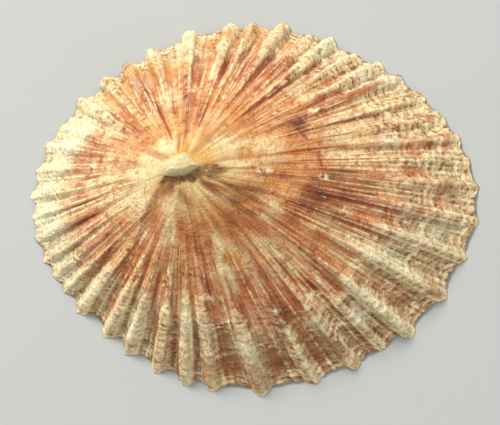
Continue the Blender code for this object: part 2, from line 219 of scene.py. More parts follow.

# Washes of colour laid over the rays: angle, reach, spread in degrees, spread in reach
# and strength. Reach, spread in reach and strength are in hundredths.
WASHES = {
    "brown": (
        (255, 30, 22, 12, 50), (300, 28, 24, 12, 60), (330, 22, 20, 8, 80), (345, 44, 14, 7, 80),
        (2, 45, 8, 8, 50), (4, 58, 5, 8, 30), (318, 45, 12, 5, 40), (285, 66, 12, 8, 40),
        (220, 13, 14, 6, 100), (210, 62, 7, 12, 30), (304, 66, 6, 8, 35), (314, 60, 4, 12, 45),
        (353, 57, 7, 12, 55), (341, 60, 3, 10, 55), (262, 52, 7, 10, 60), (196, 66, 4, 10, 45),
        (225, 34, 10, 10, 40), (35, 45, 14, 5, 50), (14, 35, 9, 8, 35), (45, 44, 3, 14, 55),
        (66, 48, 3, 20, 50), (105, 46, 3, 5, 50), (22, 47, 2.4, 20, 60), (360, 28, 6, 10, 45),
        (15, 10, 14, 2.2, 30), (275, 26, 10, 5, 55), (262, 14, 22, 5, 50), (318, 13, 11, 5, 100),
        # The wide, faint washes round 270 degrees are partly stain and partly painted shade of the lower
        # slope and margin.
        (325, 40, 12, 8, 50), (280, 20, 12, 5, 35), (268, 58, 32, 22, 28), (270, 91, 16, 8, 42),
        (92, 91, 9, 7, 28), (332, 58, 10, 14, 28), (97, 80, 12, 16, 34), (128, 82, 14, 16, 30),
    ),
    "rust": (
        (21.5, 60, 1.6, 10, 80), (66, 55, 3, 14, 80), (58, 38, 9, 9, 40), (97, 33, 9, 9, 80),
        (101, 45, 5, 5, 80), (112, 43, 4, 3, 90), (84, 52, 6, 7, 50), (93, 70, 4, 6, 60),
        (78, 70, 8, 6, 70), (86, 66, 6, 9, 60), (112, 66, 4, 4, 80), (124, 42, 3, 14, 60),
        (121, 70, 3, 8, 70), (147, 52, 5, 4, 60), (198, 50, 7, 5, 30), (218, 40, 4, 12, 50),
        (224, 64, 7, 10, 65), (238, 65, 7, 8, 90), (229, 50, 7, 8, 55), (246, 42, 7, 4, 60),
        (255, 58, 9, 6, 50), (282, 57, 8, 8, 90), (296, 55, 5, 7, 70), (304, 64, 3, 5, 80),
        (315, 60, 4, 9, 50), (326, 60, 9, 8, 35), (320, 73, 2.5, 2, 80), (359, 33, 6, 6, 60),
        (30, 73, 4, 2, 60), (140, 30, 16, 6, 30), (265, 36, 14, 6, 60), (212, 50, 4, 5, 30),
        (182, 52, 5, 5, 20), (75, 60, 6, 5, 40), (306, 46, 3, 4, 60), (247, 62, 4, 5, 60),
        (248, 50, 12, 12, 50), (280, 50, 12, 12, 45), (335, 62, 8, 12, 50), (80, 38, 8, 10, 45),
        (112, 29, 12, 7, 55), (300, 44, 9, 7, 40), (268, 64, 12, 10, 60), (322, 36, 12, 8, 45),
        (330, 68, 9, 8, 50), (50, 58, 8, 8, 50), (80, 27, 9, 7, 50), (105, 42, 9, 8, 45),
        (130, 72, 8, 6, 50), (338, 52, 9, 10, 40),
    ),
    "gold": (
        (65, 10.5, 50, 2.8, 90), (20, 10, 20, 2.5, 80), (110, 27, 12, 7, 85), (35, 20, 20, 5, 60),
        (18, 60, 14, 10, 75), (72, 40, 8, 7, 60), (138, 62, 5, 8, 80), (225, 56, 6, 5, 50),
        (251, 46, 6, 7, 80), (283, 43, 6, 5, 75), (352, 30, 8, 5, 60), (120, 40, 16, 9, 50),
        (334, 56, 6, 5, 70), (175, 42, 10, 5, 45), (38, 62, 8, 7, 55), (90, 22, 30, 6, 50),
        (112, 13, 24, 6, 100), (14, 13, 18, 5, 85), (320, 59, 10, 11, 55), (225, 58, 12, 10, 45),
        (245, 58, 12, 10, 35), (205, 20, 8, 5, 55), (55, 56, 8, 6, 40), (322, 56, 8, 7, 50),
    ),
    "rose": (
        (185, 60, 9, 10, 60), (198, 64, 7, 10, 55), (174, 60, 7, 7, 60), (139, 70, 4, 4, 80),
        (129, 62, 5, 10, 50), (92, 42, 6, 6, 50), (234, 62, 4, 8, 45), (318, 53, 4, 5, 40),
        (156, 64, 10, 8, 50), (50, 68, 9, 6, 45), (8, 74, 10, 6, 50), (70, 55, 8, 6, 40),
        (150, 30, 10, 6, 40), (103, 60, 5, 8, 30),
    ),
    "cream": (
        (20, 17, 24, 6, 60), (55, 20, 20, 6, 70), (132, 20, 14, 7, 90), (174, 24, 20, 12, 100),
        (190, 34, 10, 12, 100), (205, 31, 9, 8, 90), (190, 50, 3, 10, 70), (241, 33, 8, 8, 100),
        (238, 20, 16, 5, 60), (290, 12, 20, 4, 50), (279, 36, 4, 6, 70), (303, 43, 5, 7, 80),
        (303, 54, 5, 5, 70), (330, 34.5, 15, 3.5, 75), (335, 50, 4, 3.5, 100), (333, 57, 3, 5, 75),
        (331, 65, 3.5, 6, 70), (275, 48, 2.5, 9, 90), (289, 45, 2.5, 6, 60), (164, 50, 5, 5, 60),
        (172, 45, 6, 4, 60), (60, 65, 8, 4, 70), (116, 57, 6, 8, 70), (97, 66, 2, 10, 80),
        (223, 45, 4, 5, 60), (266, 49, 3, 4, 60), (148, 62, 8, 10, 60), (30, 32, 12, 6, 50),
        (104, 55, 4, 5, 50), (10, 72, 18, 7, 55), (22, 62, 16, 12, 65), (36, 66, 10, 10, 65),
        (58, 73, 14, 6, 60), (174, 44, 14, 11, 75), (180, 57, 14, 9, 55), (216, 50, 8, 12, 35),
        (309, 62, 1.5, 12, 50), (248, 56, 1.2, 14, 60), (202, 64, 1.2, 14, 60), (288, 58, 1, 10, 50),
        (84, 32, 10, 6, 40), (12, 64, 3, 5, 50),
    ),
    "umber": (
        (39, 47.5, 7, 2.2, 70), (4, 53, 4, 10, 45), (348, 45, 9, 5, 70), (330, 42, 8, 3, 45),
        (209, 66, 5, 8, 25), (286, 68, 4, 5, 50), (342, 27, 5, 4, 45), (316, 21, 6, 4, 60),
        (354, 58, 6, 9, 40), (107, 49.5, 1.6, 1.5, 90), (265, 33, 8, 5, 30), (228, 11, 14, 4, 55),
        (252, 12, 12, 4, 45), (316, 11, 9, 4, 50),
    ),
    "line": (
        (43, 51, 5, 0.8, 100), (34, 46.6, 6, 0.7, 90), (14, 47, 14, 0.7, 80), (1, 45, 0.8, 20, 60),
        (7, 50, 0.8, 20, 75), (14, 50, 0.7, 20, 65), (21.3, 50, 1, 22, 85), (28.5, 55, 0.7, 18, 50),
        (35.5, 55, 0.8, 20, 60), (45.5, 50, 1.1, 24, 95), (54, 48, 0.6, 14, 50), (60, 46, 0.6, 14, 45),
        (67.5, 54, 1.1, 20, 100), (76, 48, 0.6, 16, 50), (81, 40, 0.7, 12, 55), (86, 56, 0.7, 20, 65),
        (93, 36, 1.2, 12, 80), (93.5, 68, 1.3, 14, 60), (98, 50, 0.6, 20, 50), (102, 62, 0.6, 18, 45),
        (106, 40, 0.8, 12, 85), (107.5, 66, 0.8, 14, 90), (115, 44, 0.6, 14, 55),
        (118, 62, 0.6, 12, 50), (122.5, 33, 0.8, 10, 80), (124.5, 52, 0.9, 14, 90),
        (125, 68, 0.9, 8, 80), (128.5, 60, 0.6, 12, 55), (132, 60, 0.7, 14, 65),
        (141.5, 58, 0.9, 12, 90), (137, 40, 0.6, 14, 45), (147, 54, 1, 5, 60), (152, 58, 0.6, 12, 45),
        (157, 60, 0.5, 10, 45), (163, 60, 0.5, 10, 50), (168, 60, 0.5, 8, 50), (175, 62, 0.9, 5, 70),
        (168, 36.5, 12, 0.8, 50), (181, 52, 0.7, 10, 50), (186.5, 60, 0.8, 12, 75),
        (194, 64, 0.8, 16, 90), (200, 62, 0.7, 14, 75), (203.5, 62, 0.6, 12, 65),
        (206, 66, 0.8, 12, 70), (209, 62, 0.8, 16, 65), (212.5, 70, 0.9, 12, 75),
        (216, 56, 0.6, 16, 40), (221.5, 56, 0.7, 18, 45), (226, 58, 0.8, 16, 50),
        (231, 52, 0.6, 16, 40), (235.5, 60, 0.8, 14, 75), (239, 66, 0.9, 9, 85), (246, 60, 0.8, 14, 75),
        (249, 45, 0.6, 18, 60), (254, 48, 0.6, 16, 55), (258, 50, 0.7, 14, 55), (263, 54, 0.8, 16, 75),
        (245, 39, 6, 0.8, 60), (256, 50, 7, 0.7, 55), (268, 44, 5, 0.7, 50), (273, 58, 0.8, 12, 85),
        (281, 52, 0.7, 14, 55), (287.5, 62, 1, 12, 80), (292, 50, 0.8, 18, 70),
        (300.5, 58, 0.9, 18, 80), (306, 52, 0.6, 12, 50), (311, 58, 0.9, 18, 60),
        (317, 54, 0.7, 14, 50), (321, 56, 0.7, 14, 50), (324.5, 57, 0.6, 12, 55),
        (328, 56, 0.6, 12, 60), (332, 42, 0.8, 8, 70), (338, 52, 0.7, 16, 75), (342, 58, 0.8, 14, 75),
        (346.5, 58, 0.8, 14, 75), (351, 60, 1, 16, 95), (356.5, 56, 0.7, 18, 70),
        (284, 71, 10, 0.7, 70),
    ),
    "chalk": (
        (300, 69, 5, 2, 80), (324, 70, 2.4, 2, 100), (47, 59, 1.8, 2.5, 90), (129, 52, 1.5, 1.5, 80),
        (244, 53, 0.9, 3, 100), (242, 59, 0.9, 3, 100), (22, 73, 3, 3, 45), (86, 46, 1.8, 2, 70),
        (168, 62, 3, 3, 80), (2, 46, 3, 2, 70), (285, 67, 4, 3, 45), (56, 47, 3, 1.5, 60),
        (10, 69, 8, 1.2, 40), (32, 70, 8, 1.2, 40), (272, 46, 2.5, 5, 45), (355, 50, 1, 14, 40),
        (5, 27, 5, 3, 60), (197, 60, 0.8, 14, 60), (202, 64, 0.8, 14, 70), (333, 64, 2, 10, 60),
        (308, 64, 1.2, 10, 60), (262, 60, 3, 3, 60), (345, 56, 4, 3, 50),
    ),
}

# How far the washes' edges fray across the rays and along them.
WASH_FRAY_ACROSS = 0.35
WASH_FRAY_ALONG = 0.45

# How strongly the crests are speckled with cream, as white chips and painted glints: angle and share.
CHIP_AND_GLINT_SHARES = (
    (0.0, 0.9), (20.0, 0.4), (50.0, 0.5), (90.0, 0.6), (140.0, 0.5), (180.0, 0.8), (210.0, 0.9),
    (240.0, 0.8), (270.0, 1.0), (310.0, 1.0), (345.0, 1.0),
)

# Washes laid over the pale margin, in the same way.
RIM_WASHES = {
    "rim_rust": (
        (18, 82, 5, 6, 60), (9, 80, 7, 8, 40), (20, 94, 4, 2, 70), (31, 94, 5, 2, 60),
        (92, 84, 3, 9, 80), (86, 82, 2, 10, 60), (121, 82, 2, 5, 70), (101, 80, 3, 4, 50),
        (224, 84, 3, 8, 70), (241, 80, 1.2, 8, 70), (47, 78, 4, 8, 45), (57, 80, 2, 6, 60),
        (75, 80, 2, 6, 50), (66, 82, 2, 5, 40), (359, 84, 4, 7, 50), (322, 84, 5, 7, 40),
        (353, 80, 4, 6, 40), (207, 82, 1.2, 6, 60), (98, 88, 8, 8, 50), (80, 86, 7, 6, 30),
        (126, 80, 7, 6, 60),
    ),
    "rim_gold": (
        (131, 86, 2.8, 7, 100), (138.5, 85, 3, 7, 100), (152, 89, 3, 3, 60), (143, 92, 3, 3, 60),
        (165, 86, 4, 4, 40), (36, 86, 8, 8, 30), (333, 92, 4, 5, 35), (90, 90, 16, 8, 55),
        (118, 82, 18, 10, 50), (262, 88, 18, 8, 22),
    ),
    "rim_brown": (
        (280, 86, 5, 8, 90), (293, 87, 6, 8, 85), (265, 84, 4, 12, 80), (305, 86, 5, 9, 40),
        (322, 92, 5, 5, 30), (257, 84, 1.6, 12, 80), (250, 86, 1.6, 10, 80), (241, 86, 1.6, 8, 50),
        (212, 84, 1.4, 8, 70), (207, 86, 1.2, 8, 60), (201, 86, 1.2, 8, 60), (194, 87, 1.2, 8, 60),
        (233, 86, 1.5, 7, 50), (338, 88, 4, 5, 25), (4, 88, 4, 3, 60), (287, 73.8, 9, 1, 90),
        (288, 82, 13, 1, 90), (46, 80, 1.4, 9, 60), (323, 75, 8, 1.2, 50), (328, 94, 2, 3, 70),
        # The wide washes round 250 to 270 degrees are partly stain and partly painted shade of the lower
        # margin.
        (268, 90, 16, 7, 62), (248, 84, 12, 8, 35), (86, 91, 14, 7, 55), (102, 90, 8, 6, 40),
    ),
    "rim_ash": (
        (343, 80, 9, 8, 35), (308, 84, 3, 5, 60), (51, 86, 4, 7, 60), (357, 76, 6, 5, 30),
        (125, 78, 4, 5, 80), (22, 74, 4, 4, 40), (60, 92, 8, 5, 30),
    ),
    "rim_white": (
        (163, 89, 17, 11, 100), (185, 92, 18, 10, 100), (149, 84, 7, 10, 60), (204, 92, 10, 7, 70),
        (216, 88, 3, 10, 70), (228, 90, 3, 8, 60), (235, 84, 3.5, 10, 75), (271, 86, 3, 12, 75),
        (332, 80, 3, 12, 80), (314, 86, 2.5, 10, 60), (307, 84, 1.8, 5, 90), (347, 89, 4, 4, 60),
        (83, 92, 3, 6, 60), (108, 90, 5, 8, 60), (96, 84, 2, 8, 50), (70, 92, 4, 5, 60),
        (119, 92, 3, 6, 50), (46, 94, 6, 4, 50), (295, 78, 3, 3, 50), (252, 80, 2.5, 12, 45),
        (259, 78, 2, 10, 40),
    ),
}

# How much the grooves between the ribs are darkened right down to the margin, as brown stain and painted
# shade: angle and share.
GROOVE_BROWN_AND_SHADE_SHARES = (
    (0.0, 0.45), (30.0, 0.20), (60.0, 0.25), (92.0, 0.50), (125.0, 0.30), (150.0, 0.05),
    (185.0, 0.15), (200.0, 0.60), (225.0, 0.70), (265.0, 0.90), (300.0, 0.80), (325.0, 0.65),
    (345.0, 0.50),
)

# Grain that is only seen in the light, and how matt the inside and the floor are.
BUMP_STRENGTH = 0.9
BUMP_DISTANCE = 0.00040
LINING_ROUGHNESS = 0.28
FLOOR_ROUGHNESS = 0.85

# Soft lights: side, place and colour.
KEY_SIZE = 0.28
KEY_PLACE = (-0.34, 0.49, 0.58)
KEY_COLOUR = (1.0, 0.98, 0.95)
FILL_SIZE = 0.60
FILL_PLACE = (0.48, -0.42, 0.50)
FILL_COLOUR = (1.0, 0.99, 0.97)

# Large odd numbers that scramble the noise's cells.
HASH_AXES = (73856093, 19349663, 83492791)
HASH_SEED = 97531

# Camera, measured from the middle of the shell's base. It looks along +Y and steeply down.
CAMERA_TARGET = (-0.000827, -0.001285, 0.0)
CAMERA_TILT_DEG = 13.0
CAMERA_DISTANCE = 0.280
CAMERA_LENS_MM = 119.64
SENSOR_WIDTH_MM = 36.0


def smooth_step(low, high, value):
    """0 up to low, 1 from high on, and an S-shaped rise between them."""
    share = np.clip((value - low) / (high - low), 0.0, 1.0)
    return share * share * (3.0 - 2.0 * share)


def turn_between(angle, centre):
    """Signed degrees from centre to angle, the short way round."""
    return (angle - centre + 180.0) % 360.0 - 180.0


def round_the_shell(stations, angle):
    """A value read between given stations (angle, value), all the way round."""
    places = np.array([station[0] for station in stations])
    values = np.array([station[1] for station in stations])
    return np.interp(angle, places, values, period=360.0)


def lattice_noise(points, seed):
    """Smooth noise, about -1 to 1, at rows of three coordinates."""
    cell = np.floor(points).astype(np.int64)
    part = points - cell
    ease = part * part * part * (part * (part * 6.0 - 15.0) + 10.0)
    total = np.zeros(len(points))
    for corner in itertools.product((0, 1), repeat=3):
        mixed = (cell + np.array(corner)) @ np.array(HASH_AXES) + seed * HASH_SEED
        mixed = ((mixed ^ (mixed >> 15)) * 668265263) & 0xFFFFFFFF
        mixed = ((mixed ^ (mixed >> 13)) * 374761393) & 0xFFFFFFFF
        value = ((mixed ^ (mixed >> 16)) & 0xFFFF) / 32767.5 - 1.0
        total += value * np.prod(np.where(np.array(corner) == 1, ease, 1.0 - ease), axis=1)
    return total


def cloudy_noise(points, octaves, seed):
    """Several layers of lattice noise, each twice as fine and half as strong."""
    total = np.zeros(len(points))
    for octave in range(octaves):
        total += lattice_noise(points * 2.0**octave, seed + octave) * 0.5**octave
    return total


def polar_points(angle, reach, turns, lengths):
    """Noise coordinates that close up round the shell: turns across the rays, lengths along them."""
    turn = np.radians(angle)
    return np.stack([np.cos(turn) * turns, np.sin(turn) * turns, reach * lengths], axis=-1)


def rib_wave(angle):
    """Height of the ribbing at the margin: 0 in the deepest hollow, about 1 on a strong crest."""
    crests = np.array([rib[0] for rib in RIBS])
    strengths = np.array([rib[1] for rib in RIBS])
    turned = angle % 360.0
    after = np.searchsorted(crests, turned, side="right") % len(RIBS)
    before = after - 1
    gap = (crests[after] - crests[before]) % 360.0
    across = ((turned - crests[before]) % 360.0) / gap
    web = np.abs(2.0 * across - 1.0) ** WEB_SHARPNESS
    web = web * (strengths[before] * (1.0 - across) + strengths[after] * across)
    ridge = np.zeros_like(turned)
    for crest, strength in RIBS:
        away = np.abs(turn_between(turned, crest)) / RIB_HALF_WIDTH_DEG
        ridge = ridge + strength * np.exp(-(away**RIB_ROUNDNESS))
    broad = 0.5 + 0.5 * np.cos(np.radians(turned - BROAD_WEBS_AT))
    web_share = WEB_SHARE_NARROW + (WEB_SHARE_BROAD - WEB_SHARE_NARROW) * broad
    return (1.0 - web_share) * ridge + web_share * web


def rib_growth(reach):
    """How far the ribs have grown: nothing near the peak, all of it at the margin."""
    growth = np.zeros_like(reach)
    for start, end, share in RIB_GROWTH_STAGES:
        growth = growth + share * smooth_step(start, end, reach)
    return growth


def smooth_margin(angle):
    """Plan position of the margin under the ribs."""
    turn = np.radians(angle)
    swell = 1.0 + MARGIN_SQUARING * np.cos(4.0 * turn) + MARGIN_LENGTHENING * np.cos(2.0 * turn)
    for centre, spread, share in MARGIN_SWELLS:
        swell = swell + share * np.exp(-((turn_between(angle, centre) / spread) ** 2))
    east = MARGIN_HALF_LENGTH * swell * np.cos(turn)
    north = MARGIN_HALF_WIDTH * swell * np.sin(turn)
    return np.stack([east, north], axis=-1)


def outward_at(angle):
    """Horizontal unit vectors that point straight out from the margin."""
    along = smooth_margin(angle + OUTWARD_STEP) - smooth_margin(angle - OUTWARD_STEP)
    outward = np.stack([along[..., 1], -along[..., 0]], axis=-1)
    return outward / np.linalg.norm(outward, axis=-1, keepdims=True)


def blunt(reach):
    """The reach with a rounded start, so that the cone has no needle point."""
    return np.hypot(reach, PEAK_BLUNTNESS) - PEAK_BLUNTNESS


def plain_cone(angle, reach, inset, height):
    """A point of the smooth cone between the peak and the margin, drawn in by inset."""
    peak = np.array([PEAK_X, 0.0])
    margin = smooth_margin(angle) - inset[..., None] * outward_at(angle)
    plan = peak + (margin - peak) * reach[..., None]
    tailward = 0.5 + 0.5 * np.cos(np.radians(angle))
    doming = DOMING_HEAD + (DOMING_TAIL - DOMING_HEAD) * tailward
    rise = height * (1.0 - (blunt(reach) / blunt(1.0)) ** doming)
    return np.concatenate([plan, rise[..., None]], axis=-1)


def knob_share(plan):
    """1 on the worn knob at the peak and 0 off it, with a steep, uneven edge."""
    east = plan[..., 0] - PEAK_X - KNOB_CENTRE[0]
    north = plan[..., 1] - KNOB_CENTRE[1]
    edge = round_the_shell(KNOB_OUTLINE, np.degrees(np.arctan2(north, east)))
    return 1.0 - smooth_step(*KNOB_EDGE, np.hypot(east, north) / edge)


def stroke_field(stroke, plan, fray):
    """1 along a stroke given by its points and 0 off it, with a frayed edge."""
    from_peak = plan - np.array([PEAK_X, 0.0])
    nearest = np.full(len(plan), 1e3)
    for (east, north, width), (next_east, next_north, next_width) in zip(stroke, stroke[1:]):
        start = np.array([east, north])
        run = np.array([next_east, next_north]) - start
        share = np.clip((from_peak - start) @ run / (run @ run), 0.0, 1.0)
        away = np.linalg.norm(from_peak - start - share[:, None] * run, axis=1)
        nearest = np.minimum(nearest, away / (width + (next_width - width) * share))
    return 1.0 - smooth_step(*STROKE_EDGE, nearest + fray)


def ledge_rise(reach):
    """Height of the growth ledges: each one builds up to its line, then drops."""
    rise = np.zeros_like(reach)
    for line, drop in LEDGES:
        built = smooth_step(line - LEDGE_BUILD_UP, line, reach)
        dropped = smooth_step(line, line + LEDGE_RUN, reach)
        rise = rise + drop * built * (1.0 - dropped)
    return rise


def rim_arch(wave, reach, start):
    """Height of the rim's lift between ribs, which starts at the given reach."""
    between_ribs = 1.0 - smooth_step(*RIM_ARCH_WAVE, wave)
    return RIM_ARCH * between_ribs * smooth_step(start, 1.0, reach)


def ray_angle(angle, reach):
    """Where on the margin the ray through a place ends."""
    bend = round_the_shell(RAY_BENDS, angle) * smooth_step(*RAY_BEND_REACH, reach)
    return angle - bend * (1.0 / np.maximum(reach, RAY_BEND_REACH[0]) - 1.0)


def outside_form(angle, reach, rib_height):
    """The ribbed outer surface without its fine relief."""
    none = np.zeros_like(angle)
    upward = np.array([0.0, 0.0, 1.0])
    outward = np.concatenate([outward_at(angle), none[..., None]], axis=-1)
    wave = rib_wave(ray_angle(angle, reach))
    relief = rib_height * wave * rib_growth(reach)
    sideways = smooth_step(RIB_SIDEWAYS_FROM, 1.0, reach)
    out_share = RIB_OUTWARD + (RIB_OUTWARD_AT_MARGIN - RIB_OUTWARD) * sideways
    up_share = RIB_UPWARD * (1.0 - sideways)
    point = plain_cone(angle, reach, none, SHELL_SIZE.z - KNOB_HEIGHT)
    point = point + (outward * out_share[..., None] + upward * up_share[..., None]) * relief[..., None]
    knob_height = KNOB_HEIGHT - KNOB_TILT * (point[..., 1] - KNOB_CENTRE[1])
    lift = knob_height * knob_share(point[..., :2]) + ledge_rise(reach)
    lift = lift + rim_arch(wave, reach, RIM_ARCH_FROM_OUTSIDE)
    return point + upward * lift[..., None]


def inside_form(angle, reach):
    """The smooth inner surface, faintly fluted near the margin."""
    upward = np.array([0.0, 0.0, 1.0])
    wave = rib_wave(angle)
    flute = INSIDE_FLUTE * wave * smooth_step(INSIDE_FLUTE_FROM, 1.0, reach)
    point = plain_cone(angle, reach, RIM_WIDTH - flute, SHELL_SIZE.z - KNOB_HEIGHT - PEAK_THICKNESS)
    return point + upward * rim_arch(wave, reach, RIM_ARCH_FROM_INSIDE)[..., None]


def riblet_table(seed):
    """Height of the fine riblets at even steps round the shell, 0 to 1."""
    draw = np.random.default_rng(seed)
    steps = np.arange(TABLE_STEPS) * 360.0 / TABLE_STEPS
    height = np.zeros(TABLE_STEPS)
    count = round(360.0 / RIBLET_SPACING_DEG)
    for number in range(count):
        for half_step, share in ((0.0, 1.0), (0.5, 0.5)):
            centre = (number + half_step + draw.uniform(-0.2, 0.2)) * 360.0 / count
            strength = share * draw.uniform(0.45, 1.0)
            away = turn_between(steps, centre) / (RIBLET_HALF_WIDTH_DEG * draw.uniform(0.7, 1.2))
            height = np.maximum(height, strength * np.exp(-(away**2)))
    return height


def growth_table(seed):
    """Height of the growth lines at even steps of reach, 0 to 1: each builds up and drops sharply."""
    draw = np.random.default_rng(seed)
    steps = np.arange(TABLE_STEPS) / (TABLE_STEPS - 1.0) * GROWTH_TABLE_END
    height = np.zeros(TABLE_STEPS)
    line = GROWTH_FIRST
    while line < GROWTH_TABLE_END:
        progress = min(1.0, (line - GROWTH_FIRST) / (1.0 - GROWTH_FIRST))
        spacing = GROWTH_SPACING_FIRST + (GROWTH_SPACING_MARGIN - GROWTH_SPACING_FIRST) * progress
        spacing = spacing * draw.uniform(0.6, 1.4)
        strength = draw.uniform(0.25, 1.0)
        share = (steps - line) / spacing
        height = np.where((share >= 0.0) & (share < 1.0), strength * share**2, height)
        line = line + spacing
    return height


def rounded_lumps(points, seed):
    """Rounded lumps with creases between them, about -0.5 to 1."""
    coarse = np.abs(lattice_noise(points, seed))
    fine = np.abs(lattice_noise(points * 2.1, seed + 1))
    return 2.2 * coarse + 1.1 * fine - 0.75


def relief_fields(angle, reach, point, shape):
    """Named fields of the outer surface: rays, riblets, ribs, growth lines, crust, lumps, knob, hollow."""
    seed = shape.seed
    ray = ray_angle(angle, reach)
    ray = ray + RIBLET_WANDER_DEG * lattice_noise(polar_points(ray, reach, 3.0, 2.6), seed)
    steps = np.arange(TABLE_STEPS) * 360.0 / TABLE_STEPS
    riblet = np.interp(ray, steps, riblet_table(seed + 1), period=360.0)
    uneven = cloudy_noise(polar_points(ray, reach, 26.0, 9.0), 3, seed + 21)
    riblet = riblet * np.clip(0.85 + 0.6 * uneven, 0.1, 1.5)
    wave = rib_wave(ray_angle(angle, reach))
    unevenness = 0.012 * cloudy_noise(polar_points(angle, reach, 9.0, 3.0), 4, seed + 2)
    unevenness = unevenness - 0.008 * riblet - 0.016 * wave
    line_steps = np.arange(TABLE_STEPS) / (TABLE_STEPS - 1.0) * GROWTH_TABLE_END
    growth = np.interp(reach + unevenness, line_steps, growth_table(seed + 3))
    ragged = 0.030 * cloudy_noise(polar_points(ray, reach, 18.0, 7.0), 4, seed + 5)
    edge = round_the_shell(CRUST_EDGE, angle) + ragged - CRUST_ON_RIBS * (wave - 0.4)
    crust = smooth_step(-0.5 * CRUST_SOFTNESS, CRUST_SOFTNESS, reach - edge)
    plan = point[:, :2]
    fray = 0.45 * cloudy_noise(point * FRAY_SCALE, 3, seed + 25)
    hollow = stroke_field(HOLLOW_STROKE, plan, fray)
    dark_rays = [stroke_field(stroke, plan, 0.9 * fray) for stroke in DARK_RAY_STROKES]
    lumps = rounded_lumps(point * LUMP_SCALE, seed + 11)
    knob = knob_share(plan)
    return {"ray": ray, "riblet": riblet, "wave": wave, "growth": growth, "crust": crust,
            "lump": lumps, "hollow": hollow * (1.0 - knob), "knob": knob,
            "dark_ray": np.max(dark_rays, axis=0)}


def wash_field(washes, angle, reach, seed):
    """Strength of one kind of wash at each place, with ragged edges drawn out along the rays."""
    drift = cloudy_noise(polar_points(angle, reach, 12.0, 6.0), 4, seed)
    ray = ray_angle(angle, reach)
    total = np.zeros_like(angle)
    for centre, middle, spread, length, strength in washes:
        middle = middle / 100.0
        across = turn_between(ray, ray_angle(centre, middle)) / spread + WASH_FRAY_ACROSS * drift
        along = 100.0 * (reach - middle) / length + WASH_FRAY_ALONG * drift
        total = np.maximum(total, strength / 100.0 * np.exp(-(across**2 + along**2)))
    return total


def outside_relief(point, angle, reach, fields, shape):
    """Height of the fine relief that stands on the outer form, in metres."""
    seed = shape.seed
    crust = fields["crust"]
    riblets_grown = smooth_step(*RIBLETS_START, reach) * (0.45 + 0.55 * smooth_step(*RIBLETS_FULL, reach))
    height = shape.riblet_height * (fields["riblet"] - 0.3) * riblets_grown * (1.0 - 0.25 * crust)
    line_strength = 0.30 + 0.50 * smooth_step(0.5, 0.8, reach) + 0.7 * crust
    height = height + shape.growth_height * (fields["growth"] - 0.3) * line_strength
    lumpiness = round_the_shell(LUMPINESS, angle)
    rough = 0.16 + 0.84 * crust * lumpiness
    height = height + shape.crust_roughness * rough * fields["lump"]
    fields["tall"] = np.clip(0.5 + height / TALL_SPAN, 0.0, 1.0)
    nodules = cloudy_noise(point * NODULE_SCALE, 2, seed + 14)
    height = height + shape.nodule_height * crust * lumpiness * (0.4 + 0.6 * fields["wave"]) * nodules
    height = height + CRUST_HEIGHT * crust
    lower_slope = smooth_step(0.40, 0.78, reach) * (1.0 - smooth_step(0.93, 1.0, reach))
    height = height + RIB_DEEPENING * (fields["wave"] - 0.4) * lower_slope
    ridged = cloudy_noise(point * np.array(KNOB_RIDGE_SCALE), 3, seed + 17)
    height = height + KNOB_LUMPS * fields["knob"] * ridged
    height = height - HOLLOW_DEPTH * fields["hollow"]
    height = height - 0.4 * HOLLOW_DEPTH * fields["dark_ray"]
    return height * smooth_step(0.0, 0.06, reach + 0.04 * fields["knob"])


def outside_surface(angle, reach, shape):
    """Points of the finished outer surface, and the fields that its colours use."""
    point = outside_form(angle, reach, shape.rib_height)
    fields = relief_fields(angle, reach, point, shape)
    across = outside_form(angle + LEAN_STEP_DEG, reach, shape.rib_height)
    across = across - outside_form(angle - LEAN_STEP_DEG, reach, shape.rib_height)
    outer = np.minimum(reach + LEAN_STEP_REACH, 1.0)
    inner = np.maximum(reach - LEAN_STEP_REACH, 0.0)
    along = outside_form(angle, outer, shape.rib_height) - outside_form(angle, inner, shape.rib_height)
    normal = np.cross(along, across)
    length = np.linalg.norm(normal, axis=-1, keepdims=True)
    normal = np.where(length > 1e-12, normal / np.maximum(length, 1e-12), np.array([0.0, 0.0, 1.0]))
    normal[:, 2] *= 1.0 - smooth_step(0.955, 0.99, reach)
    height = outside_relief(point, angle, reach, fields, shape)
    return point + normal * height[:, None], fields


class ShellMesh:
    """Rings of points from the peak out over the margin and back up the inside, and their faces."""

    def __init__(self):
        self.angle = [0.0]
        self.reach = [0.0]
        self.inside = [OUTSIDE]
        self.faces = []
        self.ring = [0]

    def add_ring(self, reach, columns, inside):
        """Adds one ring and joins it to the last one, which has as many, half or twice the columns."""
        first = len(self.angle)
        self.angle.extend(360.0 * column / columns for column in range(columns))
        self.reach.extend([reach] * columns)
        self.inside.extend([inside] * columns)
        new = list(range(first, first + columns))
        self.join(self.ring, new)
        self.ring = new

    def join(self, old, new):
        """Faces between two rings."""
        if len(old) == 1:
            for column in range(len(new)):
                self.faces.append((old[0], new[column], new[(column + 1) % len(new)]))
        elif len(old) == len(new):
            for column in range(len(new)):
                following = (column + 1) % len(new)
                self.faces.append((old[column], new[column], new[following], old[following]))
        elif 2 * len(old) == len(new):
            for column in range(len(old)):
                following = (column + 1) % len(old)
                fine = [new[(2 * column + step) % len(new)] for step in range(3)]
                self.faces.append((old[column], fine[0], fine[1]))
                self.faces.append((old[column], fine[1], old[following]))
                self.faces.append((old[following], fine[1], fine[2]))
        elif len(old) == 2 * len(new):
            for column in range(len(new)):
                following = (column + 1) % len(new)
                fine = [old[(2 * column + step) % len(old)] for step in range(3)]
                self.faces.append((fine[0], new[column], fine[1]))
                self.faces.append((fine[1], new[column], new[following]))
                self.faces.append((fine[1], new[following], fine[2]))
        else:
            raise ValueError("rings next to each other must match, halve or double their columns")

    def close(self):
        """Closes the last ring with one point on the axis."""
        centre = len(self.angle)
        self.angle.append(0.0)
        self.reach.append(0.0)
        self.inside.append(INSIDE)
        for column in range(len(self.ring)):
            following = (column + 1) % len(self.ring)
            self.faces.append((self.ring[column], centre, self.ring[following]))


